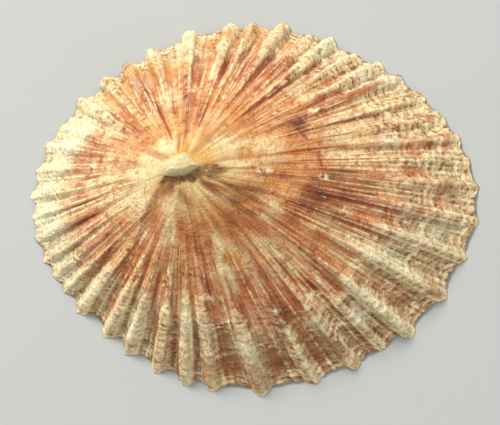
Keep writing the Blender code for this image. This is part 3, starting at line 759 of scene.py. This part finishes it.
def shell_rings(shape):
    """The whole shell's rings: fine towards the margin, coarser towards the peak and inside."""
    rings = ShellMesh()
    for start, end, rows, divisor in OUTSIDE_ROWS:
        for row in range(1, rows + 1):
            rings.add_ring(start + (end - start) * row / rows, shape.columns // divisor, OUTSIDE)
    rings.add_ring(1.0, shape.columns, RIM)
    for start, end, rows, divisor in INSIDE_ROWS:
        for row in range(0 if start == 1.0 else 1, rows + 1):
            reach = start + (end - start) * row / rows
            if reach > 1e-6:
                rings.add_ring(reach, shape.columns // divisor, INSIDE)
    rings.close()
    return rings


def store(mesh, name, values):
    """Keeps one number or vector per point on the mesh, for its material to read."""
    kind = "FLOAT_VECTOR" if values.ndim == 2 else "FLOAT"
    attribute = mesh.attributes.new(name, kind, "POINT")
    attribute.data.foreach_set("vector" if values.ndim == 2 else "value", values.astype(np.float32).ravel())


def make_shell_mesh(shape):
    """The shell as one closed mesh, with its colour fields."""
    rings = shell_rings(shape)
    angle = np.array(rings.angle)
    reach = np.array(rings.reach)
    inside = np.array(rings.inside)
    outer, fields = outside_surface(angle, reach, shape)
    inner = inside_form(angle, reach)
    rim = 0.5 * (outer + inner)
    rim[:, 2] = np.maximum(rim[:, 2] - RIM_DROP, 0.0)
    points = np.where(inside[:, None] == OUTSIDE, outer, np.where(inside[:, None] == RIM, rim, inner))
    plan_low = points[:, :2].min(axis=0)
    plan_high = points[:, :2].max(axis=0)
    points[:, :2] -= (plan_low + plan_high) / 2.0
    points[:, :2] *= np.array([SHELL_SIZE.x, SHELL_SIZE.y]) / (plan_high - plan_low)
    points[:, 2] *= SHELL_SIZE.z / points[:, 2].max()
    points[:, 2] = np.maximum(points[:, 2], 0.0)
    mesh = bpy.data.meshes.new("limpet_shell")
    mesh.from_pydata(points.tolist(), [], rings.faces)
    mesh.update()
    store(mesh, "streak", polar_points(fields["ray"], reach, 1.0, 1.0))
    for name in ("wave", "growth", "crust", "tall", "hollow", "dark_ray", "knob"):
        store(mesh, name, fields[name])
    store(mesh, "groove_brown_and_shade_share", round_the_shell(GROOVE_BROWN_AND_SHADE_SHARES, angle))
    store(mesh, "chip_and_glint_share", round_the_shell(CHIP_AND_GLINT_SHARES, angle))
    for number, (kind, washes) in enumerate((*WASHES.items(), *RIM_WASHES.items())):
        store(mesh, kind, wash_field(washes, angle, reach, shape.seed + 30 + number))
    mesh.shade_smooth()
    inner_face = np.array([min(inside[index] for index in face) != OUTSIDE for face in rings.faces])
    mesh.polygons.foreach_set("material_index", inner_face.astype(np.int32))
    return mesh


def linear(colour):
    """A screen colour, 0 to 1 in each part, as the light that it stands for."""
    parts = [part / 12.92 if part <= 0.04045 else ((part + 0.055) / 1.055) ** 2.4 for part in colour]
    return (*parts, 1.0)


class Paint:
    """Adds nodes to one material, a call for each step."""

    def __init__(self, name):
        self.material = bpy.data.materials.new(name)
        self.material.use_nodes = True
        self.tree = self.material.node_tree
        self.surface = self.tree.nodes["Principled BSDF"]

    def add(self, kind, **settings):
        """A new node with its settings."""
        node = self.tree.nodes.new(kind)
        for key, value in settings.items():
            setattr(node, key, value)
        return node

    def feed(self, socket, value):
        """Links a socket or sets a plain value."""
        if isinstance(value, bpy.types.NodeSocket):
            self.tree.links.new(value, socket)
        else:
            socket.default_value = value

    def field(self, name):
        """A number kept on the mesh."""
        return self.add("ShaderNodeAttribute", attribute_name=name).outputs["Fac"]

    def direction(self, name):
        """A vector kept on the mesh."""
        return self.add("ShaderNodeAttribute", attribute_name=name).outputs["Vector"]

    def stretch(self, vector, scale, offset=(0.0, 0.0, 0.0)):
        """A vector scaled along each axis and moved."""
        node = self.add("ShaderNodeMapping")
        self.feed(node.inputs["Vector"], vector)
        node.inputs["Scale"].default_value = scale
        node.inputs["Location"].default_value = offset
        return node.outputs["Vector"]

    def noise(self, vector, detail, roughness):
        """Cloudy noise, about 0.5 on average."""
        node = self.add("ShaderNodeTexNoise")
        self.feed(node.inputs["Vector"], vector)
        node.inputs["Scale"].default_value = 1.0
        node.inputs["Detail"].default_value = detail
        node.inputs["Roughness"].default_value = roughness
        return node.outputs["Fac"]

    def sums(self, operation, first, second, third=0.0):
        """One step of arithmetic."""
        node = self.add("ShaderNodeMath", operation=operation)
        for socket, value in zip(node.inputs, (first, second, third)):
            self.feed(socket, value)
        return node.outputs["Value"]

    def between(self, value, low, high, start=0.0, end=1.0):
        """start up to low, end from high on, and an S-shaped change between them."""
        node = self.add("ShaderNodeMapRange", interpolation_type="SMOOTHSTEP")
        self.feed(node.inputs["Value"], value)
        for name, number in (("From Min", low), ("From Max", high), ("To Min", start), ("To Max", end)):
            node.inputs[name].default_value = number
        return node.outputs["Result"]

    def blend(self, share, first, second, how="MIX"):
        """Two colours mixed, each a socket or a screen colour."""
        node = self.add("ShaderNodeMix", data_type="RGBA", blend_type=how)
        self.feed(node.inputs[0], share)
        for socket, colour in ((node.inputs[6], first), (node.inputs[7], second)):
            self.feed(socket, colour if isinstance(colour, bpy.types.NodeSocket) else linear(colour))
        return node.outputs[2]

    def ramp(self, value, stops):
        """A colour read off stops of (place, screen colour)."""
        node = self.add("ShaderNodeValToRGB")
        self.feed(node.inputs["Fac"], value)
        elements = node.color_ramp.elements
        while len(elements) < len(stops):
            elements.new(0.5)
        for element, (place, colour) in zip(elements, stops):
            element.position = place
            element.color = linear(colour)
        return node.outputs["Color"]

    def product(self, *values):
        """Values multiplied together."""
        total = values[0]
        for value in values[1:]:
            total = self.sums("MULTIPLY", total, value)
        return total


def outside_material(colours):
    """Rays, washes, riblets, pale rough margin and worn knob, with painted shade in the low relief, painted
    highlights and glints on the high relief, and painted shadow in the hollow by the knob.
    """
    paint = Paint("shell_outside")
    streak = paint.direction("streak")
    apart = paint.add("ShaderNodeSeparateXYZ")
    paint.feed(apart.inputs["Vector"], streak)
    reach = apart.outputs["Z"]
    place = paint.add("ShaderNodeTexCoord").outputs["Object"]

    soft_rays = paint.noise(paint.stretch(streak, (6.5, 6.5, 3.0), (1.0, 3.0, 2.0)), 2.0, 0.5)
    broad_rays = paint.noise(paint.stretch(streak, (13.0, 13.0, 1.8)), 2.0, 0.5)
    bold_rays = paint.noise(paint.stretch(streak, (26.0, 26.0, 3.5), (3.0, 7.0, 1.0)), 4.0, 0.62)
    fine_rays = paint.noise(paint.stretch(streak, (48.0, 48.0, 7.0), (5.0, 1.0, 3.0)), 3.0, 0.6)
    bands = paint.noise(paint.stretch(streak, (4.0, 4.0, 17.0), (2.0, 6.0, 4.0)), 4.0, 0.6)
    beads = paint.noise(paint.stretch(streak, (70.0, 70.0, 34.0), (11.0, 2.0, 5.0)), 3.0, 0.65)
    rings = paint.noise(paint.stretch(streak, (16.0, 16.0, 95.0), (1.0, 4.0, 2.0)), 5.0, 0.68)
    clouds = paint.noise(paint.stretch(place, (95.0, 95.0, 95.0), (0.3, 0.1, 0.7)), 4.0, 0.6)
    patches = paint.noise(paint.stretch(place, (260.0, 260.0, 260.0)), 5.0, 0.65)
    mottle = paint.noise(paint.stretch(place, (850.0, 850.0, 850.0), (0.5, 0.2, 0.1)), 4.0, 0.7)
    grit = paint.noise(paint.stretch(place, (2100.0, 2100.0, 2100.0)), 2.0, 0.6)

    shifted = paint.sums("MULTIPLY_ADD", clouds, 0.4, reach)
    shifted = paint.sums("MULTIPLY_ADD", bands, 0.5, shifted)
    shifted = paint.sums("SUBTRACT", shifted, 0.45)
    colour = paint.ramp(shifted, (
        (0.00, colours.straw), (0.14, colours.straw), (0.30, colours.apricot),
        (0.48, colours.orange), (0.66, colours.salmon), (0.82, colours.sand),
    ))

    streaky = paint.between(bold_rays, 0.36, 0.64, -0.5, 0.5)
    blotchy = paint.between(patches, 0.34, 0.66, -0.5, 0.5)
    speckly = paint.between(mottle, 0.36, 0.64, -0.5, 0.5)
    away_from_peak = paint.between(reach, 0.08, 0.26)
    breakup = paint.sums("MULTIPLY", streaky, paint.between(reach, 0.08, 0.3, 0.06, 0.24))
    breakup = paint.sums("MULTIPLY_ADD", blotchy, 0.26, breakup)
    breakup = paint.sums("MULTIPLY_ADD", speckly, 0.24, breakup)
    breakup = paint.sums("MULTIPLY", breakup, paint.between(reach, 0.15, 0.65, 0.25, 1.0))

    def wash(base, kind, shade, cover, how="MIX"):
        """One kind of wash, broken up along the rays."""
        field = paint.field(kind)
        mask = paint.sums("MULTIPLY_ADD", breakup, paint.between(field, 0.02, 0.20), field)
        return paint.blend(paint.between(mask, 0.04, 0.74, 0.0, cover), base, shade, how)

    colour = wash(colour, "rust", colours.rust, 0.75)
    colour = wash(colour, "gold", colours.gold, 0.75)
    colour = wash(colour, "rose", colours.rose, 0.75)

    wave = paint.field("wave")
    crust = paint.field("crust")
    growth = paint.field("growth")
    tall = paint.field("tall")

    pale_spell = paint.between(patches, 0.44, 0.66)
    colour = paint.blend(paint.product(pale_spell, away_from_peak, 0.40), colour, colours.cream)
    dark_spell = paint.product(paint.between(clouds, 0.52, 0.36), away_from_peak, 0.50)
    colour = paint.blend(dark_spell, colour, colours.tea, "MULTIPLY")
    band = paint.product(paint.between(bands, 0.50, 0.38), away_from_peak, 0.50)
    colour = paint.blend(band, colour, colours.tea, "MULTIPLY")
    colour = wash(colour, "cream", colours.cream, 0.88)

    near_peak = paint.product(paint.between(reach, 0.42, 0.20), paint.between(reach, 0.07, 0.14))
    soft_dark = paint.product(paint.between(soft_rays, 0.50, 0.62), near_peak, 0.50)
    colour = paint.blend(soft_dark, colour, colours.ray, "MULTIPLY")
    soft_pale = paint.product(paint.between(soft_rays, 0.48, 0.36), near_peak, 0.50)
    colour = paint.blend(soft_pale, colour, colours.cream)
    off_peak = paint.between(reach, 0.14, 0.34)
    broad_dark = paint.product(paint.between(broad_rays, 0.50, 0.64), off_peak, 0.50)
    colour = paint.blend(broad_dark, colour, colours.ray, "MULTIPLY")
    well_away = paint.between(reach, 0.22, 0.50)
    bold_dark = paint.product(paint.between(bold_rays, 0.52, 0.66), well_away, 0.50)
    colour = paint.blend(bold_dark, colour, colours.ray, "MULTIPLY")
    bold_pale = paint.product(paint.between(bold_rays, 0.47, 0.34), well_away, 0.40)
    colour = paint.blend(bold_pale, colour, colours.cream)
    speckle_dark = paint.product(paint.between(mottle, 0.50, 0.36), away_from_peak, 0.50)
    colour = paint.blend(speckle_dark, colour, colours.pit, "MULTIPLY")
    # Painted shade: the low places of the relief are darkened with the ray colour.
    groove = paint.product(paint.between(tall, 0.48, 0.22), away_from_peak, 0.80)
    colour = paint.blend(groove, colour, colours.ray, "MULTIPLY")
    colour = wash(colour, "line", colours.ray, 0.90, "MULTIPLY")
    # Pale riblet crests with painted highlights: the high places of the relief are lightened with cream
    # where the fine mottle allows.
    crest = paint.product(paint.between(tall, 0.50, 0.74), paint.between(mottle, 0.38, 0.56))
    crest = paint.product(crest, paint.between(reach, 0.30, 0.72, 0.60, 0.90))
    colour = paint.blend(crest, colour, colours.cream)
    rib_top = paint.product(paint.between(wave, 0.45, 0.85), paint.between(reach, 0.30, 0.60), 0.45)
    rib_top = paint.product(rib_top, paint.between(mottle, 0.40, 0.58))
    colour = paint.blend(rib_top, colour, colours.cream)

    margin = paint.blend(paint.between(patches, 0.36, 0.64), colours.sand, colours.shellcream)
    margin = paint.blend(paint.between(mottle, 0.50, 0.36, 0.0, 0.50), margin, colours.fleck)
    margin = paint.blend(paint.between(fine_rays, 0.53, 0.64, 0.0, 0.40), margin, colours.fleck)
    # Brown stain and painted shade in the grooves between the ribs, where the rib wave is low.
    groove_brown_and_shade = paint.product(paint.between(wave, 0.50, 0.12), paint.field("groove_brown_and_shade_share"))
    margin = paint.blend(groove_brown_and_shade, margin, colours.groove)
    ring_spell = paint.between(patches, 0.40, 0.60)
    ring_dark = paint.product(paint.between(rings, 0.53, 0.63), ring_spell, 0.80)
    margin = paint.blend(ring_dark, margin, colours.pit, "MULTIPLY")
    margin = paint.blend(paint.between(rings, 0.48, 0.36, 0.0, 0.75), margin, colours.shellcream)
    # Painted shade: the creases, the low places of the margin's relief, are darkened.
    painted_crease_shade = paint.between(tall, 0.46, 0.20, 0.0, 0.95)
    margin = paint.blend(painted_crease_shade, margin, colours.crease_shade, "MULTIPLY")
    # Painted highlight: the high places of the margin's relief are lightened with the palest cream.
    painted_highlight = paint.product(paint.between(tall, 0.50, 0.76), 0.80)
    margin = paint.blend(painted_highlight, margin, colours.shellcream)
    cover = paint.between(breakup, 0.30, -0.10, 0.35, 0.97)
    colour = paint.blend(paint.product(crust, cover), colour, margin)
    colour = wash(colour, "rim_brown", colours.groove, 0.75)
    colour = wash(colour, "rim_rust", colours.rust, 0.60)
    colour = wash(colour, "rim_gold", colours.gold, 0.75)
    colour = wash(colour, "rim_ash", colours.ash, 0.60)
    white_rim = paint.product(paint.field("rim_white"), paint.between(mottle, 0.34, 0.52, 0.70, 1.0), 0.95)
    colour = paint.blend(white_rim, colour, colours.rim_white)
    colour = wash(colour, "brown", colours.brown, 0.90, "MULTIPLY")
    colour = wash(colour, "umber", colours.umber, 0.85, "MULTIPLY")

    outward = paint.between(reach, 0.3, 0.8, 0.30, 0.60)
    line = paint.product(paint.between(growth, 0.45, 0.95), outward, ring_spell)
    colour = paint.blend(line, colour, colours.pit, "MULTIPLY")
    pitted = paint.between(crust, 0.0, 1.0, 0.40, 0.60)
    pits = paint.product(paint.between(grit, 0.53, 0.66), pitted, away_from_peak)
    colour = paint.blend(pits, colour, colours.pit, "MULTIPLY")
    # White chips, partly real and partly painted glints, on the high places of the relief where the fine
    # mottle is high.
    chips_and_glints = paint.product(paint.between(mottle, 0.55, 0.66), paint.between(tall, 0.45, 0.65))
    chips_and_glints = paint.product(chips_and_glints, well_away, paint.field("chip_and_glint_share"), 0.75)
    colour = paint.blend(chips_and_glints, colour, colours.chalk)
    scuffs = paint.between(paint.field("chalk"), 0.15, 0.60)
    scuffs = paint.product(scuffs, paint.between(mottle, 0.44, 0.54), 0.90)
    colour = paint.blend(scuffs, colour, colours.chalk)
    shade = paint.product(paint.field("dark_ray"), paint.between(fine_rays, 0.60, 0.40, 0.25, 0.75))
    colour = paint.blend(shade, colour, colours.dark_ray)
    # The hollow beside the knob: brown stain and painted shadow under the knob's edge, broken by painted
    # glints in small spots.
    painted_glint = paint.between(mottle, 0.67, 0.60, 0.15, 0.95)
    hollow_streaks = paint.between(fine_rays, 0.66, 0.46, 0.45, 1.0)
    hollow = paint.product(paint.field("hollow"), painted_glint, hollow_streaks)
    colour = paint.blend(hollow, colour, colours.hollow)
    knob_streaks = paint.noise(paint.stretch(place, (420.0, 1500.0, 900.0)), 3.0, 0.6)
    knob_colour = paint.ramp(knob_streaks, (
        (0.34, colours.knob_shade), (0.48, colours.knob), (0.66, colours.knob_light),
    ))
    knob = paint.field("knob")
    knob_colour = paint.blend(paint.between(knob, 0.60, 0.15, 0.0, 0.50), knob_colour, colours.straw)
    colour = paint.blend(paint.between(knob, 0.03, 0.18), colour, knob_colour)
    paint.feed(paint.surface.inputs["Base Color"], colour)

    dull = paint.sums("MULTIPLY_ADD", grit, 0.25, paint.between(crust, 0.0, 1.0, 0.26, 0.50))
    paint.feed(paint.surface.inputs["Roughness"], dull)
    height = paint.sums("MULTIPLY_ADD", beads, 0.6, paint.sums("MULTIPLY", grit, 0.5))
    height = paint.sums("MULTIPLY_ADD", mottle, 1.2, height)
    height = paint.sums("MULTIPLY_ADD", rings, 0.9, height)
    bump = paint.add("ShaderNodeBump")
    bump.inputs["Strength"].default_value = BUMP_STRENGTH
    bump.inputs["Distance"].default_value = BUMP_DISTANCE
    paint.feed(bump.inputs["Height"], height)
    paint.feed(paint.surface.inputs["Normal"], bump.outputs["Normal"])
    return paint.material


def inside_material(colours):
    """Smooth, pale and slightly glossy lining."""
    paint = Paint("shell_inside")
    streak = paint.direction("streak")
    apart = paint.add("ShaderNodeSeparateXYZ")
    paint.feed(apart.inputs["Vector"], streak)
    reach = apart.outputs["Z"]
    rays = paint.noise(paint.stretch(streak, (30.0, 30.0, 1.5)), 3.0, 0.5)
    colour = paint.ramp(paint.sums("MULTIPLY_ADD", rays, 0.10, reach), (
        (0.0, colours.scar), (0.35, colours.scar), (0.47, colours.lining),
        (0.88, colours.lining), (0.98, colours.sand), (1.0, colours.sand),
    ))
    paint.feed(paint.surface.inputs["Base Color"], colour)
    paint.surface.inputs["Roughness"].default_value = LINING_ROUGHNESS
    return paint.material


def make_light(name, energy, size, place, colour):
    """A square soft light that faces the shell."""
    data = bpy.data.lights.new(name, "AREA")
    data.energy = energy
    data.size = size
    data.color = colour
    light = bpy.data.objects.new(name, data)
    bpy.context.scene.collection.objects.link(light)
    light.location = place
    light.rotation_euler = (-Vector(place)).to_track_quat("-Z", "Y").to_euler()
    return light


class ShellShape(bpy.types.PropertyGroup):
    """Relief of the shell."""

    rib_height: FloatProperty(
        name="Rib Height", description="Height of a strong main rib at the margin",
        default=0.00115, min=0.0, max=0.003, subtype="DISTANCE", unit="LENGTH")
    riblet_height: FloatProperty(
        name="Riblet Height", description="Height of the fine riblets",
        default=0.00040, min=0.0, max=0.001, subtype="DISTANCE", unit="LENGTH")
    growth_height: FloatProperty(
        name="Growth Line Height", description="Height of the growth lines",
        default=0.00020, min=0.0, max=0.001, subtype="DISTANCE", unit="LENGTH")
    crust_roughness: FloatProperty(
        name="Crust Roughness", description="Height of the small lumps on the rough margin",
        default=0.00010, min=0.0, max=0.001, subtype="DISTANCE", unit="LENGTH")
    nodule_height: FloatProperty(
        name="Nodule Height", description="Height of the larger nodules on the ribs near the margin",
        default=0.00016, min=0.0, max=0.001, subtype="DISTANCE", unit="LENGTH")
    columns: IntProperty(
        name="Columns", description="Columns of points at the margin, a multiple of four",
        default=1024, min=64, max=1200)
    seed: IntProperty(
        name="Seed", description="Start of the random draws", default=7, min=0)


def colour_property(name, description, default):
    """A screen colour that a user can change."""
    return FloatVectorProperty(
        name=name, description=description, default=default, size=3, min=0.0, max=1.0,
        subtype="COLOR_GAMMA")


class ShellColours(bpy.types.PropertyGroup):
    """Colours of the shell, as they look on a screen."""

    knob: colour_property("Knob", "Worn knob on the peak", (1.00, 0.91, 0.67))
    knob_light: colour_property("Knob Light", "Palest streaks of the knob", (1.00, 0.95, 0.78))
    knob_shade: colour_property("Knob Shade", "Yellower streaks of the knob", (0.99, 0.85, 0.55))
    straw: colour_property("Straw", "Pale ground near the peak", (0.93, 0.78, 0.48))
    gold: colour_property("Gold", "Golden stains", (0.92, 0.66, 0.30))
    apricot: colour_property("Apricot", "Ground of the upper slope", (0.92, 0.67, 0.37))
    orange: colour_property("Orange", "Ground of the middle slope", (0.92, 0.64, 0.38))
    salmon: colour_property("Salmon", "Ground of the lower slope", (0.92, 0.66, 0.44))
    sand: colour_property("Sand", "Ground of the margin", (0.91, 0.78, 0.60))
    # Also paints the highlights on the margin's high places.
    shellcream: colour_property("Pale Margin", "Palest parts of the margin", (0.98, 0.94, 0.74))
    # Also paints the highlights on the high places of the relief.
    cream: colour_property("Cream", "Pale washes and crests", (1.00, 0.93, 0.70))
    # Also paints the glints among the chips.
    chalk: colour_property("Chalk", "White chips and scuffs", (1.00, 0.95, 0.78))
    rust: colour_property("Rust", "Rust-red washes", (0.79, 0.42, 0.21))
    rose: colour_property("Rose", "Pinkish-red washes", (0.86, 0.50, 0.36))
    # Also darkens the lower slope and margin as painted shade, in its wide washes round 270 degrees.
    brown: colour_property("Brown", "Darkening of the brown washes", (0.80, 0.62, 0.48))
    umber: colour_property("Umber", "Darkening of the darkest washes", (0.58, 0.42, 0.36))
    rim_white: colour_property("White Margin", "Chalky places of the margin", (0.96, 0.95, 0.79))
    ash: colour_property("Ash", "Greyish white washes on the margin", (0.88, 0.82, 0.72))
    # Brown of the grooves at the margin, laid partly as painted shade between the ribs; also the colour of
    # the brown rim washes.
    groove: colour_property("Groove", "Grooves at the margin", (0.63, 0.41, 0.22))
    fleck: colour_property("Fleck", "Flecks on the margin", (0.79, 0.57, 0.35))
    # Also darkens the low places of the relief, as painted shade.
    ray: colour_property("Ray", "Darkening of the fine rays", (0.76, 0.50, 0.38))
    # Painted shade in the creases of the margin.
    crease_shade: colour_property("Crease", "Darkening of creases in the margin", (0.64, 0.46, 0.30))
    dark_ray: colour_property("Dark Ray", "Dark rays beside the knob", (0.50, 0.30, 0.14))
    tea: colour_property("Tea", "Darkening of the cloudy patches", (0.86, 0.68, 0.52))
    pit: colour_property("Pit", "Darkening of pits and growth lines", (0.70, 0.50, 0.36))
    # Brown stain and painted shadow in the hollow under the knob's edge.
    hollow: colour_property("Hollow", "Dark hollow beside the knob", (0.42, 0.25, 0.14))
    lining: colour_property("Lining", "Smooth inside", (0.90, 0.86, 0.80))
    scar: colour_property("Scar", "Inside, under the peak", (0.80, 0.66, 0.52))


class StageSettings(bpy.types.PropertyGroup):
    """Floor and lights."""

    floor_colour: colour_property("Floor", "Plain pale floor", (0.69, 0.70, 0.69))
    floor_size: FloatProperty(
        name="Floor Size", description="Side of the square floor",
        default=3.0, min=0.2, max=10.0, subtype="DISTANCE", unit="LENGTH")
    key_power: FloatProperty(
        name="Key Power", description="Power of the main light", default=7.7, min=0.0, unit="POWER")
    fill_power: FloatProperty(
        name="Fill Power", description="Power of the fill light", default=0.6, min=0.0, unit="POWER")
    sky_strength: FloatProperty(
        name="Sky Strength", description="Strength of the even light from all round",
        default=0.62, min=0.0, max=5.0)


class LIMPET_OT_make_shell(bpy.types.Operator):
    """Build the limpet shell with its fine relief and colours"""

    bl_idname = "limpet.make_shell"
    bl_label = "Make Shell"

    def execute(self, context):
        settings = context.scene
        mesh = make_shell_mesh(settings.limpet_shape)
        mesh.materials.append(outside_material(settings.limpet_colours))
        mesh.materials.append(inside_material(settings.limpet_colours))
        shell = bpy.data.objects.new("limpet_shell", mesh)
        context.scene.collection.objects.link(shell)
        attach(shell, "root")
        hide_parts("shell")
        return {"FINISHED"}


class LIMPET_OT_make_stage(bpy.types.Operator):
    """Lay the floor, set the lights and aim the camera"""

    bl_idname = "limpet.make_stage"
    bl_label = "Make Stage"

    def execute(self, context):
        settings = context.scene.limpet_stage
        self.lay_floor(context, settings)
        make_light("key_light", settings.key_power, KEY_SIZE, KEY_PLACE, KEY_COLOUR)
        make_light("fill_light", settings.fill_power, FILL_SIZE, FILL_PLACE, FILL_COLOUR)
        self.set_sky(context, settings)
        self.aim_camera(context)
        context.scene.view_settings.view_transform = "Standard"
        return {"FINISHED"}

    def lay_floor(self, context, settings):
        """A large plain square under the shell."""
        half = settings.floor_size / 2.0
        mesh = bpy.data.meshes.new("floor")
        corners = [(-half, -half, 0.0), (half, -half, 0.0), (half, half, 0.0), (-half, half, 0.0)]
        mesh.from_pydata(corners, [], [(0, 1, 2, 3)])
        paint = Paint("floor")
        paint.surface.inputs["Base Color"].default_value = linear(settings.floor_colour)
        paint.surface.inputs["Roughness"].default_value = FLOOR_ROUGHNESS
        mesh.materials.append(paint.material)
        floor = bpy.data.objects.new("floor", mesh)
        context.scene.collection.objects.link(floor)

    def set_sky(self, context, settings):
        """Even light from all round."""
        world = bpy.data.worlds.new("studio")
        context.scene.world = world
        world.use_nodes = True
        background = world.node_tree.nodes["Background"]
        background.inputs["Color"].default_value = (1.0, 1.0, 1.0, 1.0)
        background.inputs["Strength"].default_value = settings.sky_strength

    def aim_camera(self, context):
        """A long lens that looks steeply down on the shell."""
        data = bpy.data.cameras.new("camera")
        data.lens = CAMERA_LENS_MM
        data.sensor_width = SENSOR_WIDTH_MM
        data.sensor_fit = "HORIZONTAL"
        data.clip_start = 0.01
        camera = bpy.data.objects.new("camera", data)
        context.scene.collection.objects.link(camera)
        tilt = math.radians(CAMERA_TILT_DEG)
        target = Vector(CAMERA_TARGET)
        camera.location = target + CAMERA_DISTANCE * Vector((0.0, -math.sin(tilt), math.cos(tilt)))
        camera.rotation_euler = (tilt, 0.0, 0.0)
        context.scene.camera = camera


class LIMPET_PT_sidebar(bpy.types.Panel):
    """Everything that the add-on makes, in the 3D view's sidebar"""

    bl_idname = "LIMPET_PT_sidebar"
    bl_label = "Limpet Shell"
    bl_space_type = "VIEW_3D"
    bl_region_type = "UI"
    bl_category = "Limpet Shell"

    def draw(self, context):
        for group in (context.scene.limpet_shape, context.scene.limpet_colours, context.scene.limpet_stage):
            box = self.layout.box()
            for name in group.__annotations__:
                box.prop(group, name)
        self.layout.operator(LIMPET_OT_make_shell.bl_idname)
        self.layout.operator(LIMPET_OT_make_stage.bl_idname)


CLASSES = (
    ShellShape, ShellColours, StageSettings, LIMPET_OT_make_shell, LIMPET_OT_make_stage, LIMPET_PT_sidebar,
)


def register():
    for each in CLASSES:
        bpy.utils.register_class(each)
    bpy.types.Scene.limpet_shape = PointerProperty(type=ShellShape)
    bpy.types.Scene.limpet_colours = PointerProperty(type=ShellColours)
    bpy.types.Scene.limpet_stage = PointerProperty(type=StageSettings)


def unregister():
    del bpy.types.Scene.limpet_stage
    del bpy.types.Scene.limpet_colours
    del bpy.types.Scene.limpet_shape
    for each in reversed(CLASSES):
        bpy.utils.unregister_class(each)


def main():
    register()
    bpy.ops.limpet.make_shell()
    bpy.ops.limpet.make_stage()


if __name__ == "__main__":
    main()
